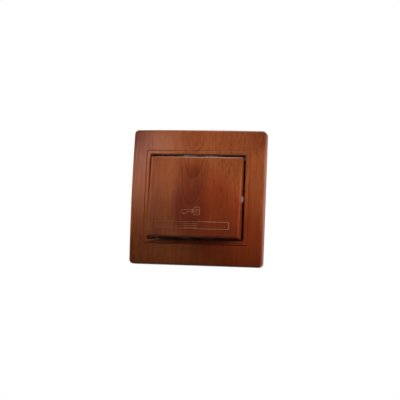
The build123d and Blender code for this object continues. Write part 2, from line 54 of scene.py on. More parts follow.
# %% Load the frame
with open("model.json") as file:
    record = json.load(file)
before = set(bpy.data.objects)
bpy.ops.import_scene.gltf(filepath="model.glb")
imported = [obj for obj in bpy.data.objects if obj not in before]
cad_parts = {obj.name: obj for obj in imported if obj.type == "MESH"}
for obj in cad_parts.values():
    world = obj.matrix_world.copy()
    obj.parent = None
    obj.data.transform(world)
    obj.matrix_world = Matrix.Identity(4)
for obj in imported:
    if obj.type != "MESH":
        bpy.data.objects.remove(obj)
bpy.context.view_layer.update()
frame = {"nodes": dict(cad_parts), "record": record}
body_of = {node: body for body, nodes in frame["record"]["behaviour"]["bodies"].items() for node in nodes}
slot_of = {row["node"]: row["material_slot"] for row in frame["record"]["subparts"]}
mm = 0.001

# %% [markdown]
# The camera looks at the switch from 13 degrees to its right and from 5 degrees below, and is
# turned a little about its own axis, so the frame seems to lean. Its distance and lens were
# found by fitting the frame's four corners, so the near edges spread by the right amount.

# %% Camera
camera_azimuth = math.radians(13.0)
camera_elevation = math.radians(-5.04)
camera_roll = math.radians(2.4)
camera_distance = 0.726
camera_target = Vector((0.44, 0.0, -0.85)) * mm
camera_lens = 107.3
camera_sensor = 36.0
camera_nearest = 0.01


def make_camera():
    across = math.cos(camera_elevation)
    back = Vector((
        math.sin(camera_azimuth) * across,
        -math.cos(camera_azimuth) * across,
        math.sin(camera_elevation),
    ))
    level = Vector((0, 0, 1)).cross(back).normalized()
    upright = back.cross(level)
    right = level * math.cos(camera_roll) + upright * math.sin(camera_roll)
    up = upright * math.cos(camera_roll) - level * math.sin(camera_roll)
    camera = bpy.data.objects.new("camera", bpy.data.cameras.new("camera"))
    camera.data.sensor_width = camera_sensor
    camera.data.lens = camera_lens
    camera.data.clip_start = camera_nearest
    turn = Matrix((right, up, back)).transposed().to_4x4()
    camera.matrix_world = Matrix.Translation(camera_target + back * camera_distance) @ turn
    bpy.context.scene.collection.objects.link(camera)
    bpy.context.scene.camera = camera
    return camera


camera = make_camera()
print("camera at", [round(value, 3) for value in camera.location])

# %% [markdown]
# Shaders and shapes are built from nodes in this script, so four small helpers keep that
# readable. One adds a node and connects or sets its inputs, one does a step of arithmetic, and
# the other two multiply several values and add up several values by their weights.

# %% Node helpers
def add_node(tree, kind, settings, inputs):
    """A new node; an input is a plain value or another node's output."""
    node = tree.nodes.new(kind)
    for name, value in settings.items():
        setattr(node, name, value)
    for key, value in inputs.items():
        if isinstance(value, bpy.types.NodeSocket):
            tree.links.new(value, node.inputs[key])
        else:
            node.inputs[key].default_value = value
    return node


def calculate(tree, operation, *values):
    return add_node(tree, "ShaderNodeMath", {"operation": operation}, dict(enumerate(values))).outputs[0]


def product(tree, first, *others):
    for factor in others:
        first = calculate(tree, "MULTIPLY", first, factor)
    return first


def weighed(tree, base, *parts):
    """A base plus each value times its weight."""
    for value, weight in parts:
        base = calculate(tree, "MULTIPLY_ADD", value, weight, base)
    return base


print("four node helpers")

# %% [markdown]
# The light is a plain studio. To the camera the backdrop is white from every side. To gloss and
# glass it is pale behind the switch and dim in front of it, as the room behind a photographer
# is, and that keeps the dark lacquer deep. The light that surfaces get from it changes in the
# same way. The direction's Y tells front from back, and Light Path tells which kind of ray is
# asking.

# %% World
backdrop_light = 0.25
backdrop_gloss = 0.65
room_light = 0.05
room_gloss = 0.02
room_ends = -0.5
backdrop_starts = 0.15


def towards_backdrop(tree, depth, in_room, at_backdrop):
    """A value that changes evenly from the room in front to the backdrop behind."""
    inputs = {
        "Value": depth, "From Min": room_ends, "From Max": backdrop_starts,
        "To Min": in_room, "To Max": at_backdrop,
    }
    return add_node(tree, "ShaderNodeMapRange", {}, inputs).outputs[0]


def seen_in_gloss(tree, seen):
    return calculate(tree, "MAXIMUM", seen.outputs["Is Glossy Ray"], seen.outputs["Is Transmission Ray"])


def make_world():
    world = bpy.data.worlds.new("studio")
    world.use_nodes = True
    tree = world.node_tree
    tree.nodes.clear()
    seen = add_node(tree, "ShaderNodeLightPath", {}, {})
    direction = add_node(tree, "ShaderNodeTexCoord", {}, {}).outputs["Generated"]
    depth = add_node(tree, "ShaderNodeSeparateXYZ", {}, {0: direction}).outputs["Y"]
    light = towards_backdrop(tree, depth, room_light, backdrop_light)
    gloss = towards_backdrop(tree, depth, room_gloss, backdrop_gloss)
    by_ray = add_node(tree, "ShaderNodeMix", {}, {0: seen_in_gloss(tree, seen), 2: light, 3: gloss})
    camera_ray = seen.outputs["Is Camera Ray"]
    strength = add_node(tree, "ShaderNodeMix", {}, {0: camera_ray, 2: by_ray.outputs[0], 3: 1.0})
    shown = add_node(
        tree, "ShaderNodeBackground", {}, {"Color": (1, 1, 1, 1), "Strength": strength.outputs[0]})
    add_node(tree, "ShaderNodeOutputWorld", {}, {"Surface": shown.outputs[0]})
    bpy.context.scene.world = world
    return world


print("world:", make_world().name)

# %% [markdown]
# The floor is a wide pale sheet well below the switch. Towards the camera it glows by itself,
# to a little under white, because the lamps add the rest where no shadow falls. So it meets the
# backdrop without a line. Towards gloss it glows as the backdrop does, with its own Y in metres
# in place of the direction's. It has no shine of its own, and its paint is a mid grey that
# throws little light upwards.

# %% Floor
floor_height = -0.25
floor_width = 30.0
floor_shown = 0.955
floor_paint = {
    "Base Color": (0.3, 0.3, 0.3, 1), "Roughness": 0.9, "Specular IOR Level": 0.0,
    "Emission Color": (1, 1, 1, 1),
}


def make_floor():
    mesh = bpy.data.meshes.new("floor")
    half = floor_width / 2
    corners = [(-half, -half, floor_height), (half, -half, floor_height)]
    corners += [(half, half, floor_height), (-half, half, floor_height)]
    mesh.from_pydata(corners, [], [(0, 1, 2, 3)])
    floor = bpy.data.objects.new("floor", mesh)
    bpy.context.scene.collection.objects.link(floor)
    material = bpy.data.materials.new("floor_paint")
    material.use_nodes = True
    tree = material.node_tree
    shader = tree.nodes["Principled BSDF"]
    for socket, value in floor_paint.items():
        shader.inputs[socket].default_value = value
    place = add_node(tree, "ShaderNodeTexCoord", {}, {}).outputs["Object"]
    depth = add_node(tree, "ShaderNodeSeparateXYZ", {}, {0: place}).outputs["Y"]
    mirrored = towards_backdrop(tree, depth, room_gloss, backdrop_gloss)
    seen = add_node(tree, "ShaderNodeLightPath", {}, {})
    in_gloss = calculate(tree, "MULTIPLY", seen_in_gloss(tree, seen), mirrored)
    to_camera = calculate(tree, "MULTIPLY", seen.outputs["Is Camera Ray"], floor_shown)
    glow = calculate(tree, "MAXIMUM", in_gloss, to_camera)
    tree.links.new(glow, shader.inputs["Emission Strength"])
    mesh.materials.append(material)
    floor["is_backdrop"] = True
    return floor


print("floor", make_floor().dimensions.x, "m wide")

# %% [markdown]
# There are two kinds of lamp. Six light surfaces and are left out of every reflection: a soft
# main beam from the front, high up, aimed at the upper half so that its light fades towards
# the lower edge; a soft beam from each side onto the frame's side strips; a weak lamp at each
# side for the side walls; and one behind. The four whose names start with sheen are seen in
# gloss alone. They draw the pale line along the top edge, the sheens on the left of the frame
# and of the key, and the shine on the plated steel behind. So shade and shine can be set one
# at a time, and metal doesn't burn out where a lamp is near. The sheen above hangs straight
# over the switch, so the back of the strap hardly mirrors it.

# %% Lamps
middle = (0, 0, 0)
lamps = {
    "lamp_main": {
        "at": (0, -0.43, 0.25), "aim": (0, 0, 0.027), "width": 0.08, "watts": 12.1, "beam": 13.5},
    "beam_left": {
        "at": (-0.22, -0.22, 0.05), "aim": (-0.045, 0, 0.010), "width": 0.06, "watts": 4.4, "beam": 12},
    "beam_right": {
        "at": (0.22, -0.22, 0.04), "aim": (0.045, 0, 0.004), "width": 0.06, "watts": 5.8, "beam": 12},
    "lamp_left": {"at": (-0.29, -0.045, 0.06), "aim": middle, "width": 0.10, "watts": 0.53},
    "lamp_right": {"at": (0.29, -0.095, 0.055), "aim": middle, "width": 0.10, "watts": 0.72},
    "lamp_behind": {"at": (-0.18, 0.42, 0.26), "aim": middle, "width": 0.30, "watts": 1.5},
    "sheen_behind": {"at": (-0.18, 0.42, 0.26), "aim": middle, "width": 0.30, "watts": 0.35},
    "sheen_above": {"at": (0, -0.02, 0.27), "aim": (0, 0, 0.04), "width": 0.16, "watts": 1.2},
    "sheen_left": {"at": (-0.28, -0.41, 0.09), "aim": middle, "width": 0.12, "watts": 0.26},
    "sheen_key": {"at": (-0.21, -0.43, 0.15), "aim": middle, "width": 0.06, "watts": 0.17},
}


def make_lamp(name, place):
    """A square soft lamp, or a soft round one with a beam that fades to its edge."""
    light = bpy.data.lights.new(name, "SPOT" if "beam" in place else "AREA")
    light.energy = place["watts"]
    if "beam" in place:
        light.spot_size = math.radians(place["beam"])
        light.spot_blend = 1.0
        light.shadow_soft_size = place["width"] / 2
    else:
        light.shape = "SQUARE"
        light.size = place["width"]
    lamp = bpy.data.objects.new(name, light)
    lamp.location = place["at"]
    lamp.rotation_mode = "QUATERNION"
    lamp.rotation_quaternion = (Vector(place["aim"]) - Vector(place["at"])).to_track_quat("-Z", "Y")
    lamp.visible_camera = False
    lamp.visible_glossy = name.startswith("sheen")
    lamp.visible_diffuse = not lamp.visible_glossy
    bpy.context.scene.collection.objects.link(lamp)


for name, place in lamps.items():
    make_lamp(name, place)
bpy.context.scene.view_settings.view_transform = "Standard"
print(len(lamps), "lamps")

# %% [markdown]
# Every finish below starts the same way: a Principled shader with its constant values set on
# its own sockets, and object coordinates in millimetres, so that a pattern has its real size
# and stays on its piece. Noise is stretched to the right number of cells per millimetre, and a
# smooth step turns it into patches, lines or dashes.

# %% Finish helpers
def new_finish(name, **constants):
    """A material whose shader has these constant values, and its object coordinates in millimetres."""
    material = bpy.data.materials.new(name)
    material.use_nodes = True
    tree = material.node_tree
    shader = tree.nodes["Principled BSDF"]
    for socket, value in constants.items():
        shader.inputs[socket.replace("_", " ")].default_value = value
    place = add_node(tree, "ShaderNodeTexCoord", {}, {}).outputs["Object"]
    scaled = add_node(tree, "ShaderNodeMapping", {}, {"Vector": place, "Scale": (1 / mm,) * 3})
    return material, tree, shader, scaled.outputs[0]


def noise(tree, place, per_mm, detail=2.0, moved=(0, 0, 0), roughness=0.5):
    """Noise with its own number of cells per millimetre along X, Y and Z."""
    cells = {"Vector": place, "Scale": per_mm, "Location": moved}
    stretched = add_node(tree, "ShaderNodeMapping", {}, cells)
    inputs = {"Vector": stretched.outputs[0], "Scale": 1.0, "Detail": detail, "Roughness": roughness}
    return add_node(tree, "ShaderNodeTexNoise", {}, inputs).outputs["Fac"]


def stepped(tree, value, low, high, to_low=0.0, to_high=1.0):
    """A smooth change from one value to another as the input goes from low to high."""
    inputs = {"Value": value, "From Min": low, "From Max": high, "To Min": to_low, "To Max": to_high}
    return add_node(tree, "ShaderNodeMapRange", {"interpolation_type": "SMOOTHSTEP"}, inputs).outputs[0]


def mixed_colour(tree, share, first, second):
    """Two colours mixed by a share from 0 to 1."""
    node = tree.nodes.new("ShaderNodeMix")
    node.data_type = "RGBA"
    for key, value in ((0, share), (6, first), (7, second)):
        if isinstance(value, bpy.types.NodeSocket):
            tree.links.new(value, node.inputs[key])
        else:
            node.inputs[key].default_value = value
    return node.outputs[2]


def bumped(tree, shader, height, strength, depth):
    node = add_node(tree, "ShaderNodeBump", {}, {"Strength": strength, "Distance": depth, "Height": height})
    tree.links.new(node.outputs[0], shader.inputs["Normal"])


print("finish helpers ready, in millimetres")

# %% [markdown]
# The front pieces carry one printed wood film under satin lacquer. In sawn wood the growth
# rings show as nested arches in the middle of the board and as straight lines beside them.
# A formula makes that: each ring is a level line of one height field. The field falls off
# gently near the middle and steeply further out, so an arch has a narrow round tip and sides
# that run almost straight. Slow noise sways the middle and lets the rings wobble, because a
# ruled curve would look drawn.

# %% Growth rings
arch_middle = -1.6
arch_sway = 3.0
arch_spacing = 16.2
arch_start = 3.3
arch_tip = 0.4
arch_tip_power = 1.5
arch_sides = 0.0034
arch_sides_power = 4.0
ring_wobble = 0.10
sway_noise = {"per_mm": (0.02, 0.03, 0.03)}
wobble_noise = {"per_mm": (0.22, 0.1, 0.06), "detail": 3.0}


def growth_rings(tree, place, x, z):
    """The distance from the arches' middle, and a value that climbs from 0 to 1 in each ring."""
    sway = noise(tree, place, **sway_noise)
    sway = weighed(tree, -arch_sway / 2 - arch_middle, (sway, arch_sway))
    across = calculate(tree, "ABSOLUTE", calculate(tree, "ADD", x, sway))
    sides = calculate(tree, "MULTIPLY", calculate(tree, "POWER", across, arch_sides_power), arch_sides)
    curve = weighed(tree, sides, (calculate(tree, "POWER", across, arch_tip_power), arch_tip))
    level = calculate(tree, "SUBTRACT", z, curve)
    wobble = calculate(tree, "MULTIPLY", noise(tree, place, **wobble_noise), ring_wobble)
    rings = weighed(tree, wobble, (level, 1 / arch_spacing))
    return across, calculate(tree, "FRACT", calculate(tree, "ADD", rings, arch_start / arch_spacing))


print("an arch every", arch_spacing, "mm")

# %% [markdown]
# A ring ends in a thin dark line of late wood, which the print breaks up here and there. The
# wood inside the arches on the key, the heart, is darker than the rest, most of all at the
# start of a ring. Each range below says where a smooth step starts and ends, and where it has
# four numbers, the last two are the values there. Ranges of places are in millimetres, the
# others are shares of a ring or levels of noise.

# %% Ring lines and heart
line_rises = (0.89, 0.95)
line_falls = (1.0, 0.965)
line_breaks = (0.32, 0.60, 0.50, 1.0)
lines_start = (-13.0, -6.0)
lines_fade = (31.0, 24.0, 0.45, 1.0)
heart_sides = (13.5, 6.75)
heart_ends = (26.0, 15.6)
heart_foot = (-26.0, -12.0)
heart_in_ring = (0.1, 0.9, 1.0, 0.7)
break_noise = {"per_mm": (0.25, 0.2, 0.06), "detail": 3.0, "moved": (3, 7, 1)}


def ring_marks(tree, place, x, z):
    """The dark line of each ring, and the dark heart inside the arches."""
    across, rings = growth_rings(tree, place, x, z)
    near = stepped(tree, across, *heart_sides)
    breaks = stepped(tree, noise(tree, place, **break_noise), *line_breaks)
    line = product(tree, stepped(tree, rings, *line_rises), stepped(tree, rings, *line_falls), breaks, near)
    line = product(tree, line, stepped(tree, z, *lines_start), stepped(tree, z, *lines_fade))
    on_key = stepped(tree, calculate(tree, "ABSOLUTE", z), *heart_ends)
    foot = stepped(tree, z, *heart_foot)
    return line, product(tree, near, on_key, foot, stepped(tree, rings, *heart_in_ring))


print("ring lines fade above", lines_fade[1], "mm")

# %% [markdown]
# The film's ground is golden brown with a broad redder band. It lies along the diagonal that
# runs down to the right, starts near the middle, and is swayed by noise. Pores are short dark
# dashes along the grain. They come in patches, and without a gap at the upper right, beside
# the arches.

# %% Red band and pores
red_reach = (30.0, 9.0)
red_start = (-14.0, 4.0)
red_sway = 16.0
pore_size = (0.58, 0.70)
pore_patches = (0.40, 0.62, 0.15, 0.7)
pores_beside = (7.0, 12.0)
band_noise = {"per_mm": (0.05, 0.1, 0.03), "moved": (6, 1, 2)}
dash_noise = {"per_mm": (2.0, 2.2, 0.11), "detail": 1.0, "moved": (7, 3, 2)}
patch_noise = {"per_mm": (0.10, 0.2, 0.03), "detail": 1.0, "moved": (4, 3, 6)}


def red_band(tree, place, x, z):
    """The share of the redder tone."""
    sway = noise(tree, place, **band_noise)
    sway = weighed(tree, -red_sway / 2, (sway, red_sway))
    diagonal = math.sqrt(0.5)
    along = weighed(tree, sway, (calculate(tree, "SUBTRACT", x, z), diagonal))
    aside = weighed(tree, sway, (calculate(tree, "ADD", x, z), diagonal))
    aside = stepped(tree, calculate(tree, "ABSOLUTE", aside), *red_reach)
    return product(tree, aside, stepped(tree, along, *red_start))


def pores(tree, place, x, z):
    """How much of a point is a dark pore."""
    dashes = stepped(tree, noise(tree, place, **dash_noise), *pore_size)
    patches = stepped(tree, noise(tree, place, **patch_noise), *pore_patches)
    beside = product(tree, stepped(tree, x, *pores_beside), stepped(tree, z, *lines_start))
    return product(tree, dashes, calculate(tree, "MAXIMUM", patches, beside))


print("the red band is up to", 2 * red_reach[0], "mm wide")

# %% [markdown]
# Everything dark in the film is added up by weight: the heart, the two top corners, fine
# fibres, slow clouds and pores. That sum mixes the ground towards a dark tone, makes the
# lacquer a little duller and lets it sink a little, as it does over open grain. The two top
# corners are partly dark figure and partly painted shade, where the light falls off. The
# raised lines on the key get the same film in paler tones.

# %% Wood film
wood_golden = (0.225, 0.060, 0.0175, 1)
wood_red = (0.195, 0.031, 0.0078, 1)
wood_dark = (0.100, 0.0150, 0.0042, 1)
line_dark = (0.050, 0.0130, 0.0045, 1)
# Paler tones of the same film, for the raised lines on the key.
ridge_golden = (0.30, 0.105, 0.048, 1)
ridge_red = (0.50, 0.215, 0.115, 1)
ridge_dark = (0.20, 0.062, 0.027, 1)
# The two top corners of the frame: partly dark figure, partly painted shade where the light falls off.
corner_figure_and_shade_sides = (24.0, 38.0)
corner_figure_and_shade_tops = (22.0, 35.0)
fibre_shades = (0.34, 0.70)
cloud_shades = (0.36, 0.66)
darkens = {"heart": 0.55, "corners": 0.5, "fibres": 0.26, "clouds": 0.36, "pores": 0.50}
fibre_noise = {"per_mm": (0.75, 0.8, 0.022), "detail": 3.0, "moved": (5, 2, 9), "roughness": 0.65}
cloud_noise = {"per_mm": (0.045, 0.09, 0.026), "moved": (1.3, 8, 4.2)}
lacquer_noise = {"per_mm": (0.9, 0.9, 0.9), "detail": 1.0, "moved": (2, 2, 2)}
lacquer_specular = 0.12
lacquer_rough = 0.22
dark_dulls = 0.05
dark_sinks = 0.35
lacquer_bump = 0.12
lacquer_depth = 0.05 * mm


def make_wood_film(name, golden, red, dark_tone, line_tone):
    material, tree, shader, place = new_finish(name, Specular_IOR_Level=lacquer_specular)
    axes = add_node(tree, "ShaderNodeSeparateXYZ", {}, {0: place})
    x, z = axes.outputs["X"], axes.outputs["Z"]
    line, heart = ring_marks(tree, place, x, z)
    ground = mixed_colour(tree, red_band(tree, place, x, z), golden, red)
    fibres = noise(tree, place, **fibre_noise)
    clouds = noise(tree, place, **cloud_noise)
    corners = stepped(tree, calculate(tree, "ABSOLUTE", x), *corner_figure_and_shade_sides)
    shares = {
        "heart": heart,
        # Painted shade, with some dark figure, at the two top corners.
        "corners": product(tree, corners, stepped(tree, z, *corner_figure_and_shade_tops)),
        "fibres": stepped(tree, fibres, *fibre_shades),
        "clouds": stepped(tree, clouds, *cloud_shades),
        "pores": pores(tree, place, x, z),
    }
    dark = weighed(tree, 0.0, *((share, darkens[mark]) for mark, share in shares.items()))
    grain = mixed_colour(tree, dark, ground, dark_tone)
    tree.links.new(mixed_colour(tree, line, grain, line_tone), shader.inputs["Base Color"])
    tree.links.new(weighed(tree, lacquer_rough, (dark, dark_dulls)), shader.inputs["Roughness"])
    relief = weighed(tree, noise(tree, place, **lacquer_noise), (dark, -dark_sinks))
    bumped(tree, shader, relief, lacquer_bump, lacquer_depth)
    return material


wood_film = make_wood_film("wood_film", wood_golden, wood_red, wood_dark, line_dark)
ridge_film = make_wood_film("ridge_film", ridge_golden, ridge_red, ridge_dark, ridge_dark)
print("wood film with", len(wood_film.node_tree.nodes), "nodes")

# %% [markdown]
# The case is dark moulded plastic. Its mould was spark-eroded, which leaves a fine even grain
# that scatters light, so roughness and bump share one fine noise. Slow noise stands for the
# slightly uneven shine and shade of a large flat moulding.

# %% Moulded plastics
grain_shades = 0.35
drift_shades = 0.65
grain_dulls = 0.14
drift_dulls = 0.10
grain_bump = 0.35
shade_range = (0.3, 0.7)
plastic_specular = 0.4
drift_noise = {"per_mm": (0.11, 0.08, 0.14), "moved": (4, 1, 6)}
grain_noise = {"per_mm": (3.6, 3.6, 3.6), "detail": 3.0, "moved": (2, 9, 5), "roughness": 0.6}


def make_moulded(name, colour, shade, rough, grain_depth):
    """Plastic in a colour that drifts towards a shade of itself, with an even mould grain."""
    material, tree, shader, place = new_finish(name, Specular_IOR_Level=plastic_specular)
    drift = noise(tree, place, **drift_noise)
    grain = noise(tree, place, **grain_noise)
    share = weighed(tree, 0.0, (drift, drift_shades), (grain, grain_shades))
    colour = mixed_colour(tree, stepped(tree, share, *shade_range), colour, shade)
    tree.links.new(colour, shader.inputs["Base Color"])
    smoothest = rough - (grain_dulls + drift_dulls) / 2
    dull = weighed(tree, smoothest, (drift, drift_dulls), (grain, grain_dulls))
    tree.links.new(dull, shader.inputs["Roughness"])
    bumped(tree, shader, grain, grain_bump, grain_depth)
    return material


case_plastic = make_moulded(
    "case_moulding", (0.030, 0.030, 0.032, 1), (0.019, 0.019, 0.021, 1), 0.52, 0.03 * mm)
lever_plastic = make_moulded(
    "lever_moulding", (0.74, 0.72, 0.66, 1), (0.66, 0.63, 0.55, 1), 0.36, 0.008 * mm)
print("plastics:", case_plastic.name, lever_plastic.name)

# %% [markdown]
# Zinc plating is a thin grey metal skin with a faint blue and straw tint, duller where it is
# thicker. Under it the rolled sheet keeps fine parallel lines. Drawn wire, pressed brass and
# silver differ only in colour, shine and the direction of their lines, so one function makes
# all metals from those few values.

# %% Metals
spots_tint = 0.4
clouds_tint = 0.6
clouds_dull = 0.22
streaks_dull = 0.14
streak_bump = 0.3
tint_range = (0.38, 0.62)
plating_noise = {"per_mm": (0.35, 0.35, 0.35), "detail": 4.0, "moved": (6, 3, 8), "roughness": 0.65}
spot_noise = {"per_mm": (2.2, 2.2, 2.2), "moved": (1, 4, 9)}
streaks_moved = (8, 5, 2)


def make_metal(name, colour, tint, rough, lines, line_depth):
    """Metal with cloudy tinted plating over fine lines, given their cells per millimetre."""
    material, tree, shader, place = new_finish(name, Metallic=1.0)
    clouds = noise(tree, place, **plating_noise)
    spots = noise(tree, place, **spot_noise)
    streaks = noise(tree, place, lines, moved=streaks_moved)
    share = weighed(tree, 0.0, (clouds, clouds_tint), (spots, spots_tint))
    colour = mixed_colour(tree, stepped(tree, share, *tint_range), colour, tint)
    tree.links.new(colour, shader.inputs["Base Color"])
    smoothest = rough - (clouds_dull + streaks_dull) / 2
    dull = weighed(tree, smoothest, (streaks, streaks_dull), (clouds, clouds_dull))
    tree.links.new(dull, shader.inputs["Roughness"])
    bumped(tree, shader, streaks, streak_bump, line_depth)
    return material


finishes = {
    "wood_finish": wood_film,
    "case_plastic": case_plastic,
    "lever_plastic": lever_plastic,
    "zinc_steel": make_metal(
        "zinc_plating", (0.60, 0.61, 0.60, 1), (0.50, 0.52, 0.50, 1), 0.36, (0.4, 0.4, 7.0), 0.006 * mm),
    "screw_steel": make_metal(
        "bright_zinc", (0.66, 0.66, 0.63, 1), (0.55, 0.56, 0.57, 1), 0.27, (5.0, 1.0, 5.0), 0.004 * mm),
    "spring_steel": make_metal(
        "drawn_wire", (0.42, 0.42, 0.43, 1), (0.30, 0.30, 0.32, 1), 0.30, (1.5, 6.0, 1.5), 0.004 * mm),
    "contact_brass": make_metal(
        "pressed_brass", (0.74, 0.52, 0.22, 1), (0.58, 0.37, 0.14, 1), 0.30, (6.0, 0.6, 0.5), 0.005 * mm),
    "contact_silver": make_metal(
        "satin_silver", (0.84, 0.83, 0.80, 1), (0.70, 0.68, 0.64, 1), 0.26, (4.0, 4.0, 4.0), 0.004 * mm),
}
print(len(finishes), "finishes")

# %% [markdown]
# The frame, the bezel, the key and its label cover have the right rounded shape in the CAD
# model already, with exact normals on their curves. They only need their finish, which goes
# into their material slots.

# %% Dress the front pieces
front_pieces = ("cover_frame", "inner_bezel", "rocker", "label_cover")
for node in front_pieces:
    mesh = frame["nodes"][node].data
    mesh.materials.clear()
    mesh.materials.append(wood_film)
print("dressed", ", ".join(front_pieces))

# %% [markdown]
# Behind the front, CAD edges are perfectly sharp, which real stamped and moulded pieces never
# are: a stamping has a small rolled edge and a moulding has the radius of its tool. A copy of
# each CAD mesh is merged into one skin, its flat areas are freed of triangles, and a small
# bevel rounds each sharp edge. Weighted normals then keep the flats flat and the edges round.

# %% Helpers for copies and plain meshes
same_place = 0.001 * mm
flat_degrees = 0.4


def link_piece(name, mesh):
    piece = bpy.data.objects.new(name, mesh)
    bpy.context.scene.collection.objects.link(piece)
    return piece


def settle(name, holder):
    """The shape that an object's modifiers make, as a plain mesh object without modifiers."""
    evaluated = holder.evaluated_get(bpy.context.evaluated_depsgraph_get())
    mesh = bpy.data.meshes.new_from_object(evaluated)
    bpy.data.objects.remove(holder)
    return link_piece(name, mesh)


def merged_copy(node):
    """One skin from a CAD node's loose triangles, with its flat areas joined up."""
    work = bmesh.new()
    work.from_mesh(frame["nodes"][node].data)
    bmesh.ops.remove_doubles(work, verts=work.verts, dist=same_place)
    flat = math.radians(flat_degrees)
    bmesh.ops.dissolve_limit(work, angle_limit=flat, verts=work.verts, edges=work.edges)
    return work


def round_edges(name, work, width, segments=2, sharp_degrees=32.0):
    """A piece from an edited mesh, with each edge sharper than an angle rounded by a width."""
    mesh = bpy.data.meshes.new(name + "_sharp")
    work.to_mesh(mesh)
    work.free()
    mesh.shade_smooth()
    holder = link_piece(name + "_holder", mesh)
    bevel = holder.modifiers.new("rolled_edges", "BEVEL")
    bevel.width = width
    bevel.segments = segments
    bevel.limit_method = "ANGLE"
    bevel.angle_limit = math.radians(sharp_degrees)
    bevel.miter_outer = "MITER_ARC"
    holder.modifiers.new("flat_areas", "WEIGHTED_NORMAL")
    return settle(name, holder)


def place_piece(piece, node, material=None):
    """Give a piece its material, if any, attach it to its body and hide the CAD node that it replaces."""
    if material is not None:
        piece.data.materials.clear()
        piece.data.materials.append(material)
    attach(piece, body_of[node])
    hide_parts(node)


print("vertices within", same_place / mm, "mm of each other are merged")

# %% [markdown]
# Each piece gets an edge width in millimetres that suits its making. Thin contact strip has
# the smallest, pressed steel and small mouldings more, and the rear of the case the most.

# %% Pieces with rolled or moulded edges
edge_widths = {
    "support_plate": 0.14,
    "housing_cover": 0.16,
    "housing_base": 0.18,
    "rocker_cradle": 0.16,
    "plunger": 0.14,
    "moving_contact": 0.08,
    "moving_contact_tips": 0.12,
    "fixed_contact_tips": 0.12,
}
for side in ("left", "right"):
    edge_widths[f"fixed_contact_{side}"] = 0.10
    edge_widths[f"terminal_clamp_{side}"] = 0.16
    edge_widths[f"claw_{side}"] = 0.14
for node, width in edge_widths.items():
    piece = round_edges(node + "_rounded", merged_copy(node), width * mm)
    place_piece(piece, node, finishes[slot_of[node]])
print(len(edge_widths), "pieces with rounded edges")

# %% [markdown]
# Springs, threads and raised lines all follow a path by a rule, so Geometry Nodes make them.
# Each tree is written here with its sizes as named inputs, and ends by realizing instances and
# setting the material. The helpers start and end such a tree, and turn its result into a
# plain mesh with its faces pointing outwards.

# %% Geometry tree helpers
def new_shape_tree(name, sizes):
    """A tree with named sizes as inputs, and its group input's sockets."""
    tree = bpy.data.node_groups.new(name, "GeometryNodeTree")
    tree.interface.new_socket("Path", in_out="INPUT", socket_type="NodeSocketGeometry")
    for label, value in sizes.items():
        kind = "NodeSocketVector" if isinstance(value, tuple) else "NodeSocketFloat"
        tree.interface.new_socket(label, in_out="INPUT", socket_type=kind).default_value = value
    tree.interface.new_socket("Material", in_out="INPUT", socket_type="NodeSocketMaterial")
    tree.interface.new_socket("Shape", in_out="OUTPUT", socket_type="NodeSocketGeometry")
    return tree, tree.nodes.new("NodeGroupInput").outputs


def end_shape_tree(tree, given, shape):
    real = add_node(tree, "GeometryNodeRealizeInstances", {}, {0: shape}).outputs[0]
    dressed = {"Geometry": real, "Material": given["Material"]}
    finished = add_node(tree, "GeometryNodeSetMaterial", {}, dressed).outputs[0]
    add_node(tree, "NodeGroupOutput", {}, {0: finished})


def grow(name, tree, points, edges, sizes, material):
    """Run a shape tree on a path of points and edges, and keep the result as a plain mesh."""
    path = bpy.data.meshes.new(name + "_path")
    path.from_pydata(points, edges, [])
    holder = link_piece(name + "_holder", path)
    modifier = holder.modifiers.new("shape", "NODES")
    modifier.node_group = tree
    keys = {item.name: item.identifier for item in tree.interface.items_tree if item.in_out == "INPUT"}
    for label, value in {**sizes, "Material": material}.items():
        modifier[keys[label]] = value
    piece = settle(name, holder)
    work = bmesh.new()
    work.from_mesh(piece.data)
    bmesh.ops.recalc_face_normals(work, faces=work.faces)
    work.to_mesh(piece.data)
    work.free()
    return piece


def share_of_path(tree):
    return add_node(tree, "GeometryNodeSplineParameter", {}, {}).outputs["Factor"]


def ramp(tree, value, low, high, to_low=0.0, to_high=1.0):
    """A straight change between two values, held at each end."""
    inputs = {"Value": value, "From Min": low, "From Max": high, "To Min": to_low, "To Max": to_high}
    return add_node(tree, "ShaderNodeMapRange", {}, inputs).outputs[0]


def even_line(tree, count):
    line = add_node(tree, "GeometryNodeCurvePrimitiveLine", {}, {"End": (0, 0, 1)}).outputs[0]
    return add_node(tree, "GeometryNodeResampleCurve", {}, {"Curve": line, "Count": count}).outputs[0]


def wound(tree, line, radius, turns, height):
    """A line wound round the Z axis, given its height at each point."""
    angle = product(tree, share_of_path(tree), turns, math.tau)
    across = calculate(tree, "MULTIPLY", calculate(tree, "COSINE", angle), radius)
    along = calculate(tree, "MULTIPLY", calculate(tree, "SINE", angle), radius)
    place = add_node(tree, "ShaderNodeCombineXYZ", {}, {0: across, 1: along, 2: height}).outputs[0]
    return add_node(tree, "GeometryNodeSetPosition", {}, {"Geometry": line, "Position": place}).outputs[0]


def swept(tree, path, profile):
    inputs = {"Curve": path, "Profile Curve": profile, "Fill Caps": True}
    return add_node(tree, "GeometryNodeCurveToMesh", {}, inputs).outputs[0]


print("shape helpers: a path grows into a plain mesh")

# %% [markdown]
# A compression spring is wire wound at an even pitch, with its last turn at each end laid
# flat against the next so that it stands square. The tree winds a line by formula: the height
# rises slowly in the first and last turn, and evenly between them.

# %% Spring tree
flat_turn_rise = 1.05
points_per_turn = 44.0
wire_sides = 12


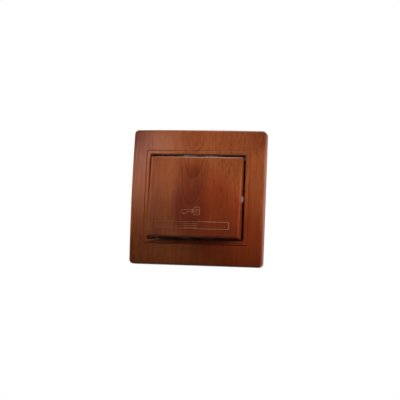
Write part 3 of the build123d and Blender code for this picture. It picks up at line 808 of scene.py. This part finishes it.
def make_spring_tree():
    """A spring along Y; its end turns rise by little more than the wire's thickness."""
    sizes = {"Coil radius": 0.002, "Wire": 0.0005, "Length": 0.01, "Turns": 7.0, "Start": (0.0, 0.0, 0.0)}
    tree, given = new_shape_tree("compression_spring", sizes)
    flat = calculate(tree, "DIVIDE", 1.0, given["Turns"])
    flat_rise = calculate(tree, "MULTIPLY", given["Wire"], flat_turn_rise)
    climb = calculate(tree, "SUBTRACT", given["Length"], given["Wire"])
    climb = calculate(tree, "SUBTRACT", climb, calculate(tree, "MULTIPLY", flat_rise, 2.0))
    share = share_of_path(tree)
    rest = calculate(tree, "SUBTRACT", 1.0, flat)
    height = weighed(
        tree, 0.0, (ramp(tree, share, 0.0, flat), flat_rise), (ramp(tree, share, flat, rest), climb),
        (ramp(tree, share, rest, 1.0), flat_rise))
    count = calculate(tree, "MULTIPLY", given["Turns"], points_per_turn)
    wire = wound(tree, even_line(tree, count), given["Coil radius"], given["Turns"], height)
    half = calculate(tree, "MULTIPLY", given["Wire"], 0.5)
    circle = {"Resolution": wire_sides, "Radius": half}
    section = add_node(tree, "GeometryNodeCurvePrimitiveCircle", {}, circle)
    body = swept(tree, wire, section.outputs[0])
    turned = {"Geometry": body, "Translation": given["Start"], "Rotation": (-math.pi / 2, 0, 0)}
    end_shape_tree(tree, given, add_node(tree, "GeometryNodeTransform", {}, turned).outputs[0])
    return tree


spring_tree = make_spring_tree()
print("spring tree with", len(spring_tree.nodes), "nodes")

# %% [markdown]
# The large spring stands between the plunger and the floor of the case. When the key is
# pressed it gets shorter, so it is squashed towards that floor by just the plunger's travel.
# The small one sits behind the contact bridge and travels with it and the plunger.

# %% Springs
plunger_z = -13.9 * mm
springs = {
    "return_spring": {
        "coil": 2.25 * mm, "wire": 0.5 * mm, "ends": (7.45 * mm, 20.15 * mm), "turns": 8.5},
    "contact_spring": {
        "coil": 1.3 * mm, "wire": 0.35 * mm, "ends": (2.65 * mm, 4.9 * mm), "turns": 4.0},
}
for node, spring in springs.items():
    low, high = spring["ends"]
    sizes = {
        "Coil radius": spring["coil"], "Wire": spring["wire"], "Length": high - low,
        "Turns": spring["turns"], "Start": (0.0, low + spring["wire"] / 2, plunger_z),
    }
    piece = grow(node + "_wound", spring_tree, [(0, 0, 0)], [], sizes, finishes["spring_steel"])
    place_piece(piece, node)
    if node == "return_spring":
        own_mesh(piece)
    print(piece.name, len(piece.data.polygons), "faces")

# %% [markdown]
# A CAD screw here has a plain shaft. The real thread is a ridge wound round a thinner core, and
# runs out at both ends. One tree makes core and ridge once and puts a copy at each point of
# its path, so the four case screws need no more code than one claw screw. The heads with
# their crossed recess are cut from copies of the CAD screws.

# %% Core of a screw
round_steps = 28
core_points = 48
point_starts = 0.965
point_width = 0.68


def thread_core(tree, given):
    """The round core, from its neck inside the head to its narrower point."""
    core = even_line(tree, core_points)
    whole = calculate(tree, "ADD", given["Length"], given["Neck"])
    height = calculate(tree, "MULTIPLY", share_of_path(tree), whole)
    height = calculate(tree, "SUBTRACT", height, given["Neck"])
    upright = add_node(tree, "ShaderNodeCombineXYZ", {}, {2: height}).outputs[0]
    core = add_node(tree, "GeometryNodeSetPosition", {}, {"Geometry": core, "Position": upright}).outputs[0]
    narrow = ramp(tree, share_of_path(tree), point_starts, 1.0, 1.0, point_width)
    core = add_node(tree, "GeometryNodeSetCurveRadius", {}, {"Curve": core, "Radius": narrow}).outputs[0]
    ring = {"Resolution": round_steps, "Radius": given["Core radius"]}
    return swept(tree, core, add_node(tree, "GeometryNodeCurvePrimitiveCircle", {}, ring).outputs[0])


print("a screw's point is", point_width, "of its core")

# %% [markdown]
# The ridge is a trapezium swept along a winding line, with its foot sunk into the core. Within
# its first and its last turn it tapers to almost nothing. Its measures are shares of the pitch
# or of a turn, so they fit any screw.

# %% Ridge of a screw
unthreaded = 1.4
first_turn_at = 0.4
taper_turns = 0.7
taper_width = 0.08
foot_sunk = 0.12
foot_width = 0.92
crest_width = 0.16


def ridge_section(tree, given):
    """The ridge's cross-section, standing outwards from the core."""
    sunk = calculate(tree, "MULTIPLY", given["Pitch"], foot_sunk)
    depth = calculate(tree, "SUBTRACT", given["Crest radius"], given["Core radius"])
    tall = calculate(tree, "ADD", depth, sunk)
    section = add_node(tree, "GeometryNodeCurvePrimitiveQuadrilateral", {"mode": "TRAPEZOID"}, {
        "Height": tall, "Offset": 0.0,
        "Bottom Width": calculate(tree, "MULTIPLY", given["Pitch"], foot_width),
        "Top Width": calculate(tree, "MULTIPLY", given["Pitch"], crest_width),
    }).outputs[0]
    outward = calculate(tree, "SUBTRACT", calculate(tree, "MULTIPLY", tall, 0.5), sunk)
    outward = add_node(tree, "ShaderNodeCombineXYZ", {}, {0: outward}).outputs[0]
    turned = {"Geometry": section, "Translation": outward, "Rotation": (0, 0, -math.pi / 2)}
    return add_node(tree, "GeometryNodeTransform", {}, turned).outputs[0]


def thread_ridge(tree, given):
    """The ridge wound round the core, tapered at both ends."""
    spare = calculate(tree, "MULTIPLY", given["Pitch"], unthreaded)
    threaded = calculate(tree, "SUBTRACT", given["Length"], spare)
    turns = calculate(tree, "DIVIDE", threaded, given["Pitch"])
    height = calculate(tree, "MULTIPLY", share_of_path(tree), threaded)
    height = calculate(tree, "MULTIPLY_ADD", given["Pitch"], first_turn_at, height)
    count = calculate(tree, "MULTIPLY", turns, float(round_steps))
    ridge = wound(tree, even_line(tree, count), given["Core radius"], turns, height)
    gone = calculate(tree, "MULTIPLY", share_of_path(tree), turns)
    left = calculate(tree, "SUBTRACT", turns, gone)
    ends = [ramp(tree, way, 0.0, taper_turns, taper_width) for way in (gone, left)]
    thick = {"Curve": ridge, "Radius": calculate(tree, "MINIMUM", *ends)}
    ridge = add_node(tree, "GeometryNodeSetCurveRadius", {}, thick).outputs[0]
    ridge = add_node(tree, "GeometryNodeSetCurveNormal", {"mode": "Z_UP"}, {"Curve": ridge}).outputs[0]
    return swept(tree, ridge, ridge_section(tree, given))


def make_thread_tree():
    """A threaded shaft along Z, turned, and copied to each point of the path."""
    sizes = {
        "Core radius": 0.001, "Crest radius": 0.0015, "Length": 0.01, "Pitch": 0.0005, "Neck": 0.0003,
        "Turn": (0.0, 0.0, 0.0),
    }
    tree, given = new_shape_tree("screw_thread", sizes)
    shells = (thread_core(tree, given), thread_ridge(tree, given))
    joined = tree.nodes.new("GeometryNodeJoinGeometry")
    for shell in shells:
        tree.links.new(shell, joined.inputs[0])
    pointed = {"Geometry": joined.outputs[0], "Rotation": given["Turn"]}
    screw = add_node(tree, "GeometryNodeTransform", {}, pointed).outputs[0]
    places = add_node(tree, "GeometryNodeMeshToPoints", {}, {"Mesh": given["Path"]}).outputs[0]
    copies = add_node(tree, "GeometryNodeInstanceOnPoints", {}, {"Points": places, "Instance": screw})
    end_shape_tree(tree, given, copies.outputs[0])
    return tree


thread_tree = make_thread_tree()
print("thread tree with", len(thread_tree.nodes), "nodes")

# %% [markdown]
# A head is cut from a merged copy of the CAD screw: every face that reaches past the neck goes,
# and the hole is filled. Then the threaded shaft joins it as a second shell of one mesh.
# Lengths are in millimetres here, and a screw whose head faces the rear has a negative length.

# %% Screws
past_neck = 0.1
thread_depth = 0.55
crest_inside = 0.01
neck_in_head = 0.3
head_edge = 0.09
claw_screw = {"neck": -1.0, "length": 13.6, "radius": 1.5, "pitch": 0.5}
terminal_screw = {"neck": 13.25, "length": -5.35, "radius": 1.7, "pitch": 0.6}
case_screw = {"neck": -2.8, "length": 8.8, "radius": 1.1, "pitch": 0.7}
screw_kinds = {
    "claw_screw_left": {"places": [(-24.1, 0)], **claw_screw},
    "claw_screw_right": {"places": [(24.1, 0)], **claw_screw},
    "terminal_screw_left": {"places": [(-8.6, 11)], **terminal_screw},
    "terminal_screw_right": {"places": [(8.6, 11)], **terminal_screw},
    "housing_screws": {"places": [(x, z) for x in (-15.5, 15.5) for z in (-18, 18)], **case_screw},
}


def screw_head(node, neck_y, head_in_front):
    """The heads of a CAD screw node without their shafts, closed where each shaft was."""
    work = merged_copy(node)
    away = 1 if head_in_front else -1
    beyond = [
        face for face in work.faces
        if any((vert.co.y - neck_y) * away > past_neck * mm for vert in face.verts)
    ]
    bmesh.ops.delete(work, geom=beyond, context="FACES")
    bmesh.ops.holes_fill(work, edges=work.edges, sides=0)
    return work


def join_into(piece, others):
    """Add other pieces' meshes to a piece, as further shells of the same mesh."""
    work = bmesh.new()
    for part in (piece, *others):
        work.from_mesh(part.data)
    work.to_mesh(piece.data)
    work.free()
    for part in others:
        bpy.data.objects.remove(part)


for node, kind in screw_kinds.items():
    in_front = kind["length"] > 0
    sizes = {
        "Core radius": (kind["radius"] - thread_depth * kind["pitch"]) * mm,
        "Crest radius": (kind["radius"] - crest_inside) * mm,
        "Length": abs(kind["length"]) * mm, "Pitch": kind["pitch"] * mm, "Neck": neck_in_head * mm,
        "Turn": (-math.pi / 2 if in_front else math.pi / 2, 0.0, 0.0),
    }
    points = [(x * mm, kind["neck"] * mm, z * mm) for x, z in kind["places"]]
    shaft = grow(node + "_shaft", thread_tree, points, [], sizes, finishes["screw_steel"])
    head = screw_head(node, kind["neck"] * mm, in_front)
    head = round_edges(node + "_threaded", head, head_edge * mm)
    join_into(head, [shaft])
    place_piece(head, node, finishes["screw_steel"])
    print(head.name, len(head.data.polygons), "faces")

# %% [markdown]
# The key carries a raised door-opener sign and a label field with a raised rim and three short
# bars. They are thin rounded ridges, and the printed film on them is stretched and in paler
# tones. Their paths are drawn flat, as if looking straight at the key, and the tree sweeps a
# rounded section along them and turns them onto the tilted key.

# %% Tree for raised lines
corner_points = 5
section_sides = 12


def make_ridge_tree():
    """Rounded ridges along a flat path, then turned and put in place."""
    sizes = {
        "Width": 0.0004, "Height": 0.0002, "Corner": 0.0002,
        "Turn": (0.0, 0.0, 0.0), "Place": (0.0, 0.0, 0.0),
    }
    tree, given = new_shape_tree("raised_line", sizes)
    line = add_node(tree, "GeometryNodeMeshToCurve", {}, {"Mesh": given["Path"]}).outputs[0]
    corners = {"Curve": line, "Radius": given["Corner"], "Count": corner_points, "Limit Radius": True}
    line = add_node(tree, "GeometryNodeFilletCurve", {"mode": "POLY"}, corners).outputs[0]
    line = add_node(tree, "GeometryNodeSetCurveNormal", {"mode": "Z_UP"}, {"Curve": line}).outputs[0]
    circle = {"Resolution": section_sides, "Radius": 1.0}
    circle = add_node(tree, "GeometryNodeCurvePrimitiveCircle", {}, circle).outputs[0]
    half = calculate(tree, "MULTIPLY", given["Width"], 0.5)
    flat = add_node(tree, "ShaderNodeCombineXYZ", {}, {0: half, 1: given["Height"], 2: 1.0}).outputs[0]
    section = add_node(tree, "GeometryNodeTransform", {}, {"Geometry": circle, "Scale": flat}).outputs[0]
    ridge = swept(tree, line, section)
    turned = {"Geometry": ridge, "Translation": given["Place"], "Rotation": given["Turn"]}
    end_shape_tree(tree, given, add_node(tree, "GeometryNodeTransform", {}, turned).outputs[0])
    return tree


ridge_tree = make_ridge_tree()
print("raised-line tree with", len(ridge_tree.nodes), "nodes")

# %% [markdown]
# A path is a list of corners in millimetres, to the right and up along the key's face, and a
# closed line joins its last corner to its first. The sign is a key that points left: a square
# bow with a round hole, a collar, and a shaft with two notches.

# %% Paths of the sign, the label's rim and its bars
def polyline(points, closed):
    """Points in millimetres and the edges between them."""
    edges = [(index, index + 1) for index in range(len(points) - 1)]
    if closed:
        edges.append((len(points) - 1, 0))
    return [(x * mm, up * mm, 0.0) for x, up in points], edges


def several(lines):
    """Several lines as one path."""
    points, edges = [], []
    for corners, closed in lines:
        more, joined = polyline(corners, closed)
        edges += [(a + len(points), b + len(points)) for a, b in joined]
        points += more
    return points, edges


def ring_of(x, up, radius, count=20):
    steps = [index / count * math.tau for index in range(count)]
    return [(x + radius * math.cos(step), up + radius * math.sin(step)) for step in steps]


def frame_of(low, high):
    return [(low[0], low[1]), (high[0], low[1]), (high[0], high[1]), (low[0], high[1])]


sign_shapes = [
    ([(0.5, -6.5), (3.9, -6.5), (3.9, -11.1), (0.5, -11.1)], True),
    (ring_of(2.4, -8.8, 0.95), True),
    ([(0.5, -8.2), (-6.9, -8.2), (-7.6, -8.8), (-6.9, -9.4), (-6.4, -9.4), (-6.4, -10.9), (-5.6, -10.9),
      (-5.6, -10.1), (-5.0, -10.1), (-5.0, -10.7), (-4.2, -10.7), (-4.2, -9.4), (0.5, -9.4)], False),
    ([(-0.4, -7.6), (-0.4, -10.0)], False),
]
label_middle = (-0.5, -17.45)
label_half = (22.6, 2.15)
rim = frame_of(
    (label_middle[0] - label_half[0], label_middle[1] - label_half[1]),
    (label_middle[0] + label_half[0], label_middle[1] + label_half[1]),
)
bar_ends = (-5.4, 2.9)
bar_heights = (-16.4, -17.7, -19.0)
bars = [([(end, up) for end in bar_ends], False) for up in bar_heights]
print("the sign has", len(sign_shapes), "lines, and there are", len(bars), "bars")

# %% [markdown]
# The paths are measured from the key's pivot, in the key's own flat face. So the ridges are
# turned by the key's tilt at rest and moved out to its face, and the label's lines a little
# further, on top of the label cover. From there they ride with the key.

# %% Raised lines on the key
key_tilt = math.radians(4.85)
pivot = Vector((0, -5.6, -0.7)) * mm
key_rise = 8.6 * mm
label_proud = 0.1 * mm
ridge_corner = 0.35 * mm
outward = Vector((0, -math.cos(key_tilt), math.sin(key_tilt)))
key_turn = (math.pi / 2 - key_tilt, 0.0, 0.0)
raised_lines = {
    "door_opener_sign": {
        "lines": sign_shapes, "width": 0.42, "height": 0.20, "lift": 0.0, "on": "rocker"},
    "label_rim": {
        "lines": [(rim, True)], "width": 0.28, "height": 0.12, "lift": label_proud, "on": "label_cover"},
    "label_bars": {
        "lines": bars, "width": 0.26, "height": 0.10, "lift": label_proud, "on": "label_cover"},
}
for name, lines in raised_lines.items():
    points, edges = several(lines["lines"])
    sizes = {
        "Width": lines["width"] * mm, "Height": lines["height"] * mm, "Corner": ridge_corner,
        "Turn": key_turn, "Place": tuple(pivot + outward * (key_rise + lines["lift"])),
    }
    piece = grow(name, ridge_tree, points, edges, sizes, ridge_film)
    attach(piece, body_of[lines["on"]])
    print(piece.name, len(piece.data.polygons), "faces")

# %% Finish
visual_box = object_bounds()
sides = [round((high - low) / mm, 2) for low, high in zip(*visual_box)]
print("visual size in mm", sides)
